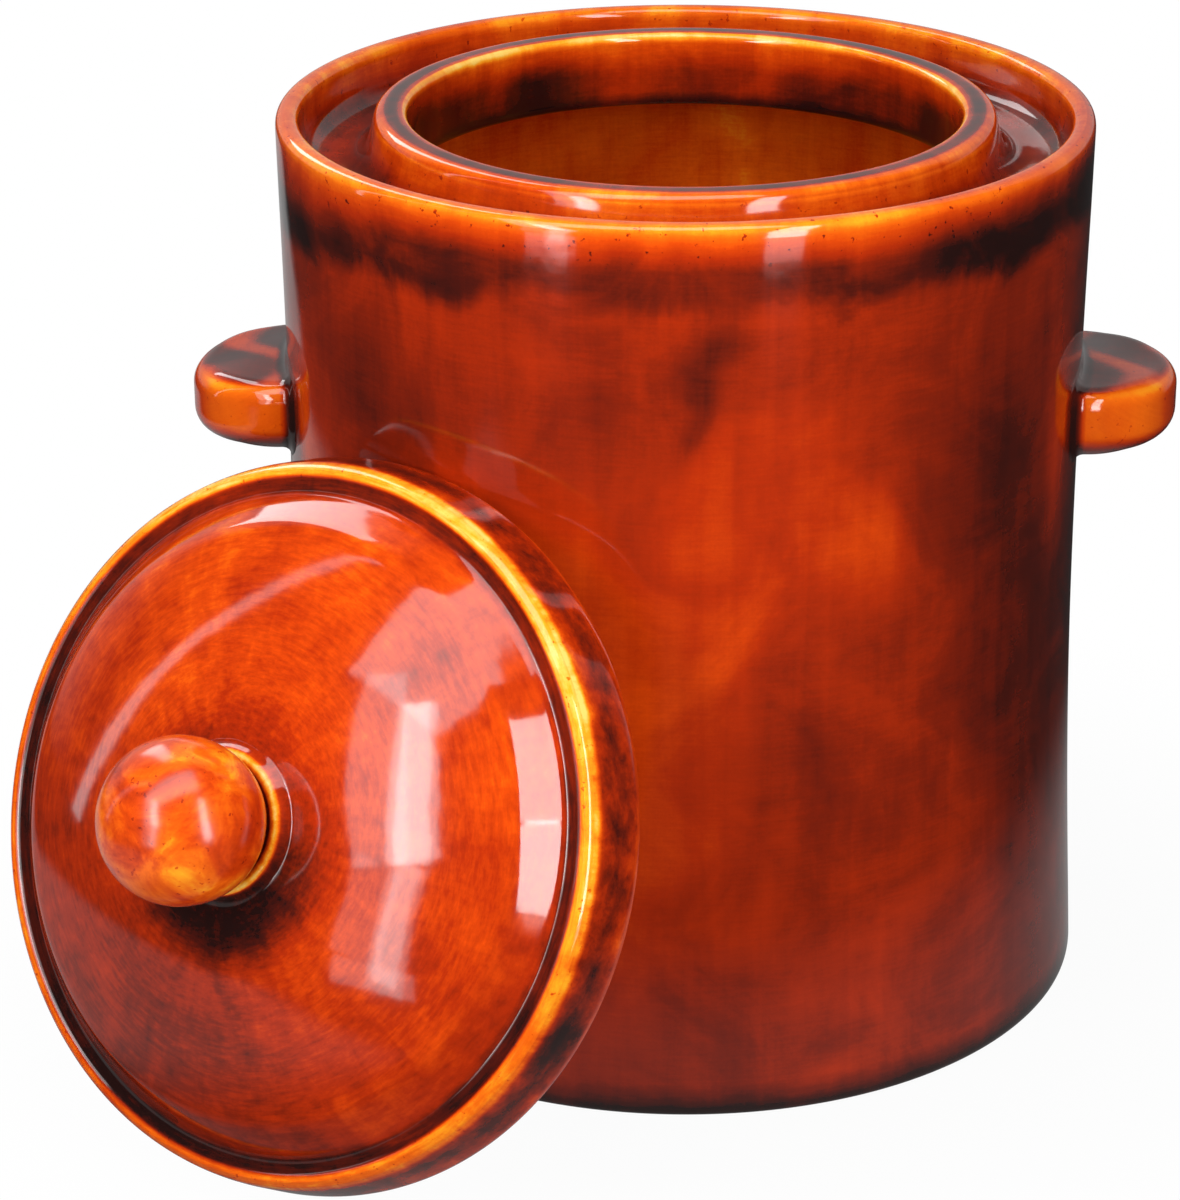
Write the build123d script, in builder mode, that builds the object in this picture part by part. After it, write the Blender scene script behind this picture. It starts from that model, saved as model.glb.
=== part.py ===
from build123d import *
from math import atan, cos, radians, sin, sqrt, tan
import os

# Water seal pickle jar, millimetres, +Z up. The origin is on the jar's axis at its foot,
# the front is towards -Y, and the two lugs point to -X and +X.

# Jar
jar_height = 294.0
waist_radius = 129.8
waist_height = 197.0
foot_flare = 5.2
foot_round = 3.5
wall_thickness = 9.5
floor_thickness = 11.0
floor_round = 14.0

# Gutter and neck
gutter_depth = 17.5
gutter_width = 20.0
gutter_chamfer = 4.0
shelf_thickness = 8.0
neck_seat_width = 2.0
neck_flare = 4.7
neck_lip_thickness = 10.0
neck_lip_round = 3.4
neck_foot_round = 2.5
lute_gap = 0.2

# Lugs
lug_drop = 96.0
lug_reach = 31.6
lug_root = 1.0
lug_half_width = 33.8
lug_thickness = 23.4
lug_round = 8.5
left_lug_angle = 180.0
right_lug_angle = -1.5

# Lid
skirt_clearance = 2.8
skirt_thickness = 7.0
skirt_taper = 3.7
edge_round = 2.8
lid_headroom = 2.5
shoulder_rise = 6.0
shoulder_round = 2.6
ring_width = 4.0
groove_width = 3.2
groove_depth = 1.2
knee_inset = 12.0
knee_rise = 10.8
knee_round = 24.0
crown_rise = 19.7
dome_thickness = 7.0
knee_inner_inset = 4.4
knee_inner_drop = 6.0
haunch_width = 2.3
haunch_height = 10.0
haunch_run = 6.8
collar_radius = 21.3
collar_height = 1.6
collar_flare = 5.2
collar_round = 0.8

# Knob
ball_radius = 25.0
ball_seat_radius = 17.3

# How the lid leans
lid_lean_angle = 23.0
lid_facing_angle = 33.8
lid_touch_angle = 35.7
lean_gap = 0.3

# Pressing weights
weight_clearance = 3.0
weight_thickness = 20.0
weight_split = 3.0
weight_round = 3.0
finger_hole_radius = 13.5
weight_gap = 0.3


def wall_radius(height):
    """Outer radius of the wall, a shallow bow that is narrowest at the waist."""
    return waist_radius + foot_flare * ((height - waist_height) / waist_height) ** 2


# Levels and radii that follow from the driving sizes
lip_thickness = wall_thickness - neck_seat_width
lip_radius = lip_thickness / 2
lip_height = jar_height - lip_radius
rim_radius = wall_radius(lip_height)
rim_inner_radius = rim_radius - lip_thickness
gutter_floor = jar_height - gutter_depth
seat_height = gutter_floor - shelf_thickness
neck_base_radius = rim_inner_radius - gutter_width
neck_lip_radius = neck_base_radius - neck_flare
neck_inner_radius = neck_lip_radius - neck_lip_thickness

# The wall outline, from foot to rim
with BuildPart() as jar_body:
    with BuildSketch(Plane.XZ) as jar_section:
        with BuildLine():
            foot = Line((0, 0), (wall_radius(0), 0))
            outside = ThreePointArc(
                foot @ 1,
                (waist_radius, waist_height),
                (rim_radius, lip_height),
            )
            lip = ThreePointArc(
                outside @ 1,
                (rim_radius - lip_radius, jar_height),
                (rim_inner_radius, lip_height),
            )
            throat = Line(lip @ 1, (rim_inner_radius, seat_height))
            seat = Line(throat @ 1, (wall_radius(seat_height) - wall_thickness, seat_height))
            inside = ThreePointArc(
                seat @ 1,
                (waist_radius - wall_thickness, waist_height),
                (wall_radius(floor_thickness) - wall_thickness, floor_thickness),
            )
            Polyline(inside @ 1, (0, floor_thickness), (0, 0))
        make_face()
        corners = jar_section.vertices().group_by(Axis.Y)
        fillet(corners[1].sort_by(Axis.X)[-1], floor_round)
        fillet(corners[0].sort_by(Axis.X)[-1], foot_round)
    revolve(axis=Axis.Z)

with BuildPart() as neck_ring:
    with BuildSketch(Plane.XZ) as neck_section:
        with BuildLine():
            Polyline(
                (neck_inner_radius, seat_height),
                (rim_inner_radius - lute_gap, seat_height),
                (rim_inner_radius - lute_gap, gutter_floor + gutter_chamfer),
                (rim_inner_radius - lute_gap - gutter_chamfer, gutter_floor),
                (neck_base_radius, gutter_floor),
                (neck_lip_radius, jar_height),
                (neck_inner_radius, jar_height),
                close=True,
            )
        make_face()
        neck_corners = neck_section.vertices().group_by(Axis.Y)
        fillet(neck_corners[-1], neck_lip_round)
        fillet(neck_corners[0].sort_by(Axis.X)[0], neck_foot_round)
    revolve(axis=Axis.Z)

# The solid inside the wall's outer surface, which trims the lugs' roots to the wall
with BuildPart() as wall_core:
    with BuildSketch(Plane.XZ):
        with BuildLine():
            core_foot = Line((0, 0), (wall_radius(0), 0))
            core_wall = ThreePointArc(
                core_foot @ 1,
                (waist_radius, waist_height),
                (rim_radius, lip_height),
            )
            Polyline(core_wall @ 1, (0, lip_height), (0, 0))
        make_face()
    revolve(axis=Axis.Z)


def make_lug(label, angle):
    """A solid rounded tongue, half an ellipse in plan, trimmed to the wall."""
    lug_height = jar_height - lug_drop
    lug_centre = wall_radius(lug_height) - lug_root
    lug_plane = Plane.XY.offset(lug_height - lug_thickness / 2).rotated((0, 0, angle))
    with BuildPart() as lug:
        with BuildSketch(lug_plane):
            with Locations((lug_centre, 0)):
                Ellipse(lug_reach + lug_root, lug_half_width)
        extrude(amount=lug_thickness)
        rims = lug.edges().group_by(Axis.Z)
        fillet(rims[0] + rims[-1], lug_round)
        add(wall_core.part, mode=Mode.SUBTRACT)
    lug.part.label = label
    return lug.part


left_lug = make_lug("left_lug", left_lug_angle)
right_lug = make_lug("right_lug", right_lug_angle)

# Lid sizes, in its own frame: radius from its axis, height from its lower edge
skirt_inner_radius = neck_base_radius + skirt_clearance
lid_radius = skirt_inner_radius + skirt_thickness
shoulder_height = gutter_depth + shoulder_rise
shoulder_radius = lid_radius - skirt_taper
groove_radius = shoulder_radius - ring_width
dome_radius = groove_radius - groove_width
knee_radius = dome_radius - knee_inset
knee_height = shoulder_height + knee_rise
dome_height = knee_height + crown_rise
ceiling_height = gutter_depth + lid_headroom
collar_top = dome_height + collar_height
ball_height = collar_top + sqrt(ball_radius**2 - ball_seat_radius**2)


def dome_level(radius, edge_radius, edge_height, crown_height):
    """Height of a shallow dome at a radius, from its edge to its crown."""
    return crown_height - (crown_height - edge_height) * (radius / edge_radius) ** 2


# The lid leans on its edge: the round of that edge is a ring of tube radius edge_round,
# which stands on the ground and touches the wall at the touch angle.
lean = radians(lid_lean_angle)
facing = radians(lid_facing_angle)
touch = radians(lid_touch_angle)
away = Vector(-sin(facing), -cos(facing), 0)
side = Vector(-cos(facing), sin(facing), 0)
lid_axis = away * cos(lean) + Vector(0, 0, sin(lean))
tube_ring_radius = lid_radius - edge_round
contact_turn = -atan(tan(touch - facing) / sin(lean))
tube_height = edge_round + lean_gap + tube_ring_radius * cos(lean)
contact_height = tube_height + tube_ring_radius * cos(lean) * cos(contact_turn)
contact_reach = wall_radius(contact_height) + lean_gap + edge_round
tube_centre = (
    Vector(-sin(touch), -cos(touch), 0) * contact_reach
    + away * (tube_ring_radius * sin(lean) * cos(contact_turn))
    - side * (tube_ring_radius * sin(contact_turn))
    + Vector(0, 0, tube_height)
)
lid_centre = tube_centre - lid_axis * edge_round
lid_section = Plane(origin=lid_centre, x_dir=side, z_dir=side.cross(lid_axis))
lid_line = Axis(lid_centre, lid_axis)

with BuildPart() as lid_shell:
    with BuildSketch(lid_section) as lid_sketch:
        with BuildLine():
            skirt = Polyline(
                (skirt_inner_radius, 0),
                (lid_radius, 0),
                (shoulder_radius, shoulder_height),
                (groove_radius, shoulder_height),
                (groove_radius - groove_width / 2, shoulder_height - groove_depth),
                (dome_radius, shoulder_height),
                (knee_radius, knee_height),
            )
            flare_radius = collar_radius + collar_flare
            half_way = (knee_radius + flare_radius) / 2
            dome = ThreePointArc(
                skirt @ 1,
                (half_way, dome_level(half_way, knee_radius, knee_height, dome_height)),
                (flare_radius, dome_level(flare_radius, knee_radius, knee_height, dome_height)),
            )
            ceiling_crown = dome_height - dome_thickness
            ceiling_radius = skirt_inner_radius - haunch_width - haunch_run
            bend_radius = knee_radius - knee_inner_inset
            bend_height = knee_height - knee_inner_drop
            collar = Polyline(
                dome @ 1,
                (collar_radius, collar_top - collar_round),
                (collar_radius - collar_round, collar_top),
                (0, collar_top),
                (0, ceiling_crown),
            )
            ceiling = ThreePointArc(
                collar @ 1,
                (bend_radius / 2, dome_level(bend_radius / 2, bend_radius, bend_height, ceiling_crown)),
                (bend_radius, bend_height),
            )
            Polyline(
                ceiling @ 1,
                (ceiling_radius, ceiling_height),
                (skirt_inner_radius - haunch_width, haunch_height),
                (skirt_inner_radius, 0),
            )
        make_face()
        shoulder = lid_sketch.vertices().sort_by_distance((shoulder_radius, shoulder_height))[0]
        fillet(shoulder, shoulder_round)
        knee = lid_sketch.vertices().sort_by_distance((knee_radius, knee_height))[0]
        fillet(knee, knee_round)
        fillet(lid_sketch.vertices().group_by(Axis.Y)[0], edge_round)
    revolve(axis=lid_line)

with BuildPart() as lid_knob:
    with BuildSketch(lid_section):
        with BuildLine():
            seat_line = Polyline(
                (0, ball_height + ball_radius),
                (0, collar_top),
                (ball_seat_radius, collar_top),
            )
            ThreePointArc(seat_line @ 1, (ball_radius, ball_height), seat_line @ 0)
        make_face()
    revolve(axis=lid_line)

weight_radius = neck_inner_radius - weight_clearance


def make_weight(label, direction):
    """A half-moon that lies on the jar's floor, with half of the finger hole."""
    with BuildPart() as weight:
        with BuildSketch(Plane.XY.offset(floor_thickness + weight_gap)):
            Circle(weight_radius)
            Circle(finger_hole_radius, mode=Mode.SUBTRACT)
            with Locations((-direction * weight_radius, 0)):
                Rectangle(
                    2 * weight_radius + weight_split, 2 * weight_radius, mode=Mode.SUBTRACT
                )
        extrude(amount=weight_thickness)
        rims = weight.edges().group_by(Axis.Z)
        fillet(rims[0] + rims[-1], weight_round)
    weight.part.label = label
    return weight.part


left_weight = make_weight("left_weight", -1)
right_weight = make_weight("right_weight", 1)

jar_body.part.label = "jar_body"
neck_ring.part.label = "neck_ring"
lid_shell.part.label = "lid_shell"
lid_knob.part.label = "lid_knob"

os.makedirs("parts", exist_ok=True)
export_step(jar_body.part, "parts/jar_body.step")
export_step(neck_ring.part, "parts/neck_ring.step")
export_step(left_lug, "parts/left_lug.step")
export_step(right_lug, "parts/right_lug.step")
export_step(lid_shell.part, "parts/lid_shell.step")
export_step(lid_knob.part, "parts/lid_knob.step")
export_step(left_weight, "parts/left_weight.step")
export_step(right_weight, "parts/right_weight.step")

print("lid centre", lid_centre, "axis", lid_axis)
print("rim", rim_radius, rim_inner_radius, "neck", neck_base_radius, neck_lip_radius, neck_inner_radius)
print("lid radius", lid_radius, "ball height", ball_height)
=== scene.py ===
from math import radians
import bpy
import numpy as np
from mathutils import Matrix, Vector


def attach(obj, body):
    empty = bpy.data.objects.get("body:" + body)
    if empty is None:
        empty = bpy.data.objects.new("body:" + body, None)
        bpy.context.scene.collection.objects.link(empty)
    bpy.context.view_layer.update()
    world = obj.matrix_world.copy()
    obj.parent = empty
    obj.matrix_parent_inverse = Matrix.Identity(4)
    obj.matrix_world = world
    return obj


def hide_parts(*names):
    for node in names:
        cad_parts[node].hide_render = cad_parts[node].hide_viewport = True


# Water seal pickle jar: a glazed crock with a gutter round its neck, two lugs, a lid that leans
# on its wall, and two pressing weights inside. Sections are in mm, the meshes in metres.
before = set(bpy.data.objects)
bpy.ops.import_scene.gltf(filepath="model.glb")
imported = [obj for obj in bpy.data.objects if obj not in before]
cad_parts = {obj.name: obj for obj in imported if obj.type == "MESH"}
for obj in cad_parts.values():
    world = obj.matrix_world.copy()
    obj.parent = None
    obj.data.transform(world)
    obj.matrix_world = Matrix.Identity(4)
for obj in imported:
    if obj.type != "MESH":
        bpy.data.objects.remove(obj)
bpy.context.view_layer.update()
mm = 0.001
print("frame is in")

# camera
photoView = {
    "place": (0.0, -1.1929, 0.6278),
    "turnLeft": 1.49,  # degrees, like the next two
    "tipDown": 23.0,
    "roll": -0.26,
    "lens": 115.13,  # mm, over a sensor of the width below
    "sensor": 36,
    "reach": 20,
}


def placeCamera(look):
    eye = bpy.data.cameras.new("photoCamera")
    eye.lens = look["lens"]
    eye.sensor_width = look["sensor"]
    eye.clip_end = look["reach"]
    stand = bpy.data.objects.new("photoCamera", eye)
    aim = (
        Matrix.Rotation(radians(look["turnLeft"]), 3, "Z")
        @ Matrix.Rotation(radians(90 - look["tipDown"]), 3, "X")
        @ Matrix.Rotation(radians(look["roll"]), 3, "Z")
    )
    stand.rotation_euler = aim.to_euler()
    stand.location = look["place"]
    bpy.context.scene.collection.objects.link(stand)
    bpy.context.scene.camera = stand


placeCamera(photoView)
print("camera stands")


# surfaces, each a function of two parameters on a grid
def bump(value, middle, width):
    # a hill of height 1: exp of minus half the squared distance over the width
    return np.exp(-0.5 * ((value - middle) / width) ** 2)


def step(value, low, high):
    # the smooth step 3 t^2 - 2 t^3, with t going from 0 at low to 1 at high
    t = np.clip((value - low) / (high - low), 0, 1)
    return t * t * (3 - 2 * t)


def rounded(corners, points=13):
    # corners P are (radius, height, cut): each is cut back by that length along both of its
    # runs, to A and B, and bridged by the parabola (1-t)^2 A + 2 t (1-t) P + t^2 B
    spots = np.array([c[:2] for c in corners], float)
    cuts = np.array([c[2] for c in corners], float)
    t = np.linspace(0, 1, points)[:, None]
    line = [spots[:1]]
    for spot, before, after, cut in zip(spots[1:-1], spots[:-2], spots[2:], cuts[1:-1]):
        if cut == 0:
            line.append(spot[None])
            continue
        a = spot + (before - spot) * cut / np.linalg.norm(before - spot)
        b = spot + (after - spot) * cut / np.linalg.norm(after - spot)
        line.append((1 - t) ** 2 * a + 2 * t * (1 - t) * spot + t**2 * b)
    line.append(spots[-1:])
    return np.concatenate(line)


def lengthAlong(line):
    # at each point the sum of the straight lengths before it
    return np.append(0, np.cumsum(np.linalg.norm(np.diff(line, axis=0), axis=1)))


def softened(values, spread):
    # the Gaussian mean of the neighbours, spread given in samples
    reach = int(4 * spread) + 1
    weights = np.exp(-0.5 * (np.arange(-reach, reach + 1) / spread) ** 2)
    padded = np.pad(values, reach, mode="edge")
    return np.convolve(padded, weights / weights.sum(), mode="valid")


# how far the section, its bend and its crowding are smoothed, in samples, and the bend in 1/mm
# that crowds the rows fully
pathSpread, bendSpread, crowdSpread, fullBend = 3, 4, 6, 0.1


def section(corners, count, bendShare=6.0, spacing=0.2):
    # a section with its rows closer together where it bends, and at each row its bend in 1/mm
    # (positive on an edge that sticks out, negative in a hollow) and its length from the start
    line = rounded(corners)
    run = lengthAlong(line)
    fine = np.linspace(0, run[-1], int(run[-1] / spacing))
    path = np.stack([np.interp(fine, run, line[:, k]) for k in (0, 1)], 1)
    path[1:-1] = np.stack([softened(path[:, k], pathSpread) for k in (0, 1)], 1)[1:-1]
    heading = np.unwrap(np.arctan2(*np.gradient(path, axis=0).T[::-1]))
    bend = softened(np.gradient(heading) / spacing, bendSpread)
    crowding = 1 + bendShare * softened(np.abs(bend), crowdSpread) / fullBend
    ticks = np.append(0, np.cumsum(crowding[1:]))
    rows = np.interp(np.linspace(0, ticks[-1], count), ticks, fine)
    at = lambda values: np.interp(rows, fine, values)
    return np.stack([at(path[:, 0]), at(path[:, 1])], 1), at(bend), rows


def closedMesh(name, grid, values):
    # grid is rows x columns x 3 in mm, columns wrap round, and the first and last rows are
    # single points; values are named numbers for each grid point; UV is (column, row) share
    rows, columns = grid.shape[:2]
    points = np.concatenate([grid[:1, 0], grid[1:-1].reshape(-1, 3), grid[-1:, 0]]) * mm
    last = len(points) - 1
    index = 1 + np.arange((rows - 2) * columns).reshape(rows - 2, columns)
    here, there = index, np.roll(index, -1, axis=1)
    quads = np.stack([here[:-1], there[:-1], there[1:], here[1:]], -1).reshape(-1, 4)
    low = np.stack([np.zeros(columns, int), there[0], here[0]], -1)
    high = np.stack([np.full(columns, last), here[-1], there[-1]], -1)
    mesh = bpy.data.meshes.new(name)
    mesh.from_pydata(points.tolist(), [], low.tolist() + quads.tolist() + high.tolist())
    mesh.polygons.foreach_set("use_smooth", np.ones(len(mesh.polygons), bool))
    for key, field in values.items():
        flat = np.concatenate([field[0, :1], field[1:-1].ravel(), field[-1, :1]])
        mesh.attributes.new(key, "FLOAT", "POINT").data.foreach_set("value", flat)
    column = np.arange(columns) / columns
    row = np.arange(rows) / (rows - 1)
    nextColumn = column + 1 / columns
    c0, r0 = np.meshgrid(column, row[1:-2])
    c1, r1 = np.meshgrid(nextColumn, row[2:-1])
    quadUv = np.stack([c0, r0, c1, r0, c1, r1, c0, r1], -1).reshape(-1, 2)
    mid = (column + nextColumn) / 2
    level = lambda share: np.full(columns, share)
    lowUv = np.stack([mid, level(0), nextColumn, level(row[1]), column, level(row[1])], -1)
    highUv = np.stack([mid, level(1), column, level(row[-2]), nextColumn, level(row[-2])], -1)
    uv = np.concatenate([lowUv.reshape(-1, 2), quadUv, highUv.reshape(-1, 2)])
    mesh.uv_layers.new(name="around").data.foreach_set("uv", uv.ravel())
    mesh.validate()
    piece = bpy.data.objects.new(name, mesh)
    bpy.context.scene.collection.objects.link(piece)
    return piece


def ripple(around, along, waves):
    # the sum of amplitude * sin(turns * around + along / length + start)
    return sum(a * np.sin(n * around + along / length + start) for a, n, length, start in waves)


def allAround(columns):
    # the angles of a closed turn, in one row
    return np.linspace(-np.pi, np.pi, columns, endpoint=False)[None]


def layered(depths, masks):
    # the plain depth plus each named depth times the mask of the same name
    return depths["plain"] + sum(depths[key] * mask for key, mask in masks.items())


def glazeNumbers(depth, mottle, speck, run=0.0, runShare=0.0, least=0.02):
    # the numbers that the glaze reads, at every point of a grid
    given = {"run": run, "runShare": runShare, "mottle": mottle, "speck": speck}
    spread = {key: value + np.zeros(depth.shape) for key, value in given.items()}
    return {"depth": np.clip(depth, least, 1), **spread}


# materials: the outputs of a texture coordinate node that are used; in a world the generated
# one is the way that a ray points
generated, objectPlace = 0, 3


class Field:
    # wraps one socket, so that sums and products of sockets add their Math nodes
    def __init__(self, batch, socket):
        self.batch, self.socket = batch, socket

    def port(self, key):
        # another output of the same node, by its number or name
        return Field(self.batch, self.socket.node.outputs[key])

    def math(self, operation, *values):
        return self.batch.node("Math", {"operation": operation}, dict(enumerate(values)))

    def __add__(self, other):
        return self.math("ADD", self, other)

    def __radd__(self, other):
        return self.math("ADD", other, self)

    def __sub__(self, other):
        return self.math("SUBTRACT", self, other)

    def __rsub__(self, other):
        return self.math("SUBTRACT", other, self)

    def __mul__(self, other):
        return self.math("MULTIPLY", self, other)

    def __rmul__(self, other):
        return self.math("MULTIPLY", other, self)


class Batch:
    # one material's nodes; node() takes a type, its settings and its sockets' values or links
    def __init__(self, owner):
        owner.use_nodes = True
        self.tree = owner.node_tree
        self.tree.nodes.clear()

    def node(self, kind, settings=None, sockets=None, output=0):
        made = self.tree.nodes.new("ShaderNode" + kind)
        for key, value in (settings or {}).items():
            if key == "stops":
                self.setStops(made.color_ramp, value)
            else:
                setattr(made, key, value)
        for key, value in (sockets or {}).items():
            if isinstance(value, Field):
                self.tree.links.new(value.socket, made.inputs[key])
            else:
                made.inputs[key].default_value = value
        return Field(self, made.outputs[output] if len(made.outputs) else None)

    def setStops(self, ramp, stops):
        while len(ramp.elements) < len(stops):
            ramp.elements.new(1.0)
        for element, (place, colour) in zip(ramp.elements, stops):
            element.position = place
            element.color = colour

    def noise(self, where, scale, detail, rough, warp=0.0):
        # centred on 0
        shape = {"Scale": scale, "Detail": detail, "Roughness": rough, "Distortion": warp}
        return self.node("TexNoise", {"noise_dimensions": "3D"}, {"Vector": where, **shape}) - 0.5

    def blended(self, share, first, second):
        # a Mix node's share and its two colours
        return self.node("Mix", {"data_type": "RGBA"}, {0: share, 6: first, 7: second}, 2)

    def between(self, value, low, high):
        # the same smooth step as in step()
        return self.node(
            "MapRange", {"interpolation_type": "SMOOTHSTEP"}, {"Value": value, 1: low, 2: high}
        )


def tone(red, green, blue):
    # an sRGB colour of 0 to 255 as the linear colour that a shader takes
    share = np.array([red, green, blue]) / 255
    line = np.where(share <= 0.04045, share / 12.92, ((share + 0.055) / 1.055) ** 2.4)
    return (*line.tolist(), 1.0)


# how the glaze looks from thin, on an edge, to thick, in a hollow or a run
glazeDepths = [
    (0.00, tone(255, 212, 108)),
    (0.12, tone(255, 170, 34)),
    (0.27, tone(241, 108, 15)),
    (0.43, tone(210, 68, 8)),
    (0.58, tone(171, 43, 7)),
    (0.72, tone(127, 31, 9)),
    (0.86, tone(78, 21, 12)),
    (1.00, tone(36, 16, 14)),
]


def makeGlaze(name, look):
    # tone = the piece's own number (how thick the glaze is, with painted shade and painted light added
    # in places) + its run, ragged by streaks + specks + blotches, clouds, streaks, brush lines and
    # grain; the ramp above turns it into a colour under a gloss
    material = bpy.data.materials.new(name)
    batch = Batch(material)
    place = batch.node("TexCoord", {}, {}, objectPlace)
    local = batch.node(
        "Mapping", {}, {"Vector": place, "Rotation": look["turn"], "Location": look["shift"]}
    )
    parts = batch.node("SeparateXYZ", {}, {0: local})
    x, y, z = parts, parts.port(1), parts.port(2)
    level = batch.node("CombineXYZ", {}, {0: x, 1: y, 2: 0.0})
    radius = batch.node("VectorMath", {"operation": "LENGTH"}, {0: level}, 1)
    facing = batch.node("VectorMath", {"operation": "NORMALIZE"}, {0: level})

    def swept(turns, rise, out):
        # noise stretched along the wheel's turn: few turns and a large rise give rings
        wide = batch.node("VectorMath", {"operation": "SCALE"}, {0: facing, "Scale": turns})
        tall = batch.node("CombineXYZ", {}, {0: 0.0, 1: 0.0, 2: z * rise + radius * out})
        return batch.node("VectorMath", {"operation": "ADD"}, {0: wide, 1: tall})

    number = lambda key: batch.node("Attribute", {"attribute_name": key}, {}, 2)
    mottle = number("mottle")
    streak = batch.noise(swept(*look["streak"]), 1.0, 4, 0.62, 0.4)
    brush = batch.noise(swept(*look["brush"]), 1.0, 4, 0.65, 0.2)
    blotch = batch.noise(local, look["blotchScale"], 4, 0.6, 0.7)
    cloud = batch.noise(local, look["blotchScale"] * look["cloudShare"], 2, 0.5, 0.3)
    grain = batch.noise(local, look["grainScale"], 2, 0.6)
    ragged = number("run") + streak * look["runStreak"] + blotch * look["runBlotch"]
    run = batch.between(ragged, -look["runSoft"], look["runSoft"]) * number("runShare")
    dots = batch.noise(local, look["speckScale"], 2, 0.6)
    speck = batch.between(dots, *look["speckBetween"]) * number("speck")
    total = (
        number("depth")
        + run * (look["runDepth"] + blotch * look["runMottle"])
        + speck * look["speckDepth"]
        + mottle * (
            blotch * look["blotchDepth"]
            + cloud * look["cloudDepth"]
            + streak * look["streakDepth"]
            + brush * look["brushDepth"]
            + grain * look["grainDepth"]
        )
    )
    colour = batch.node("ValToRGB", {"stops": glazeDepths}, {"Fac": total})
    swell = batch.noise(local, look["swellScale"], 2, 0.5) * look["swellRise"]
    peel = batch.noise(local, look["peelScale"], 2, 0.5) * look["peelRise"]
    rise = swell + peel + brush * look["brushRise"]
    bumpNode = batch.node(
        "Bump", {}, {"Strength": look["bump"], "Distance": look["bumpDistance"], "Height": rise}
    )
    shader = batch.node(
        "BsdfPrincipled", {},
        {
            "Base Color": colour, "Roughness": look["gloss"], "IOR": 1.5, "Specular IOR Level": 0.5,
            "Coat Weight": 0.015, "Coat Roughness": 0.3, "Coat IOR": 1.45, "Normal": bumpNode,
        },
    )
    batch.node("OutputMaterial", {}, {"Surface": shader})
    return material


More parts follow.
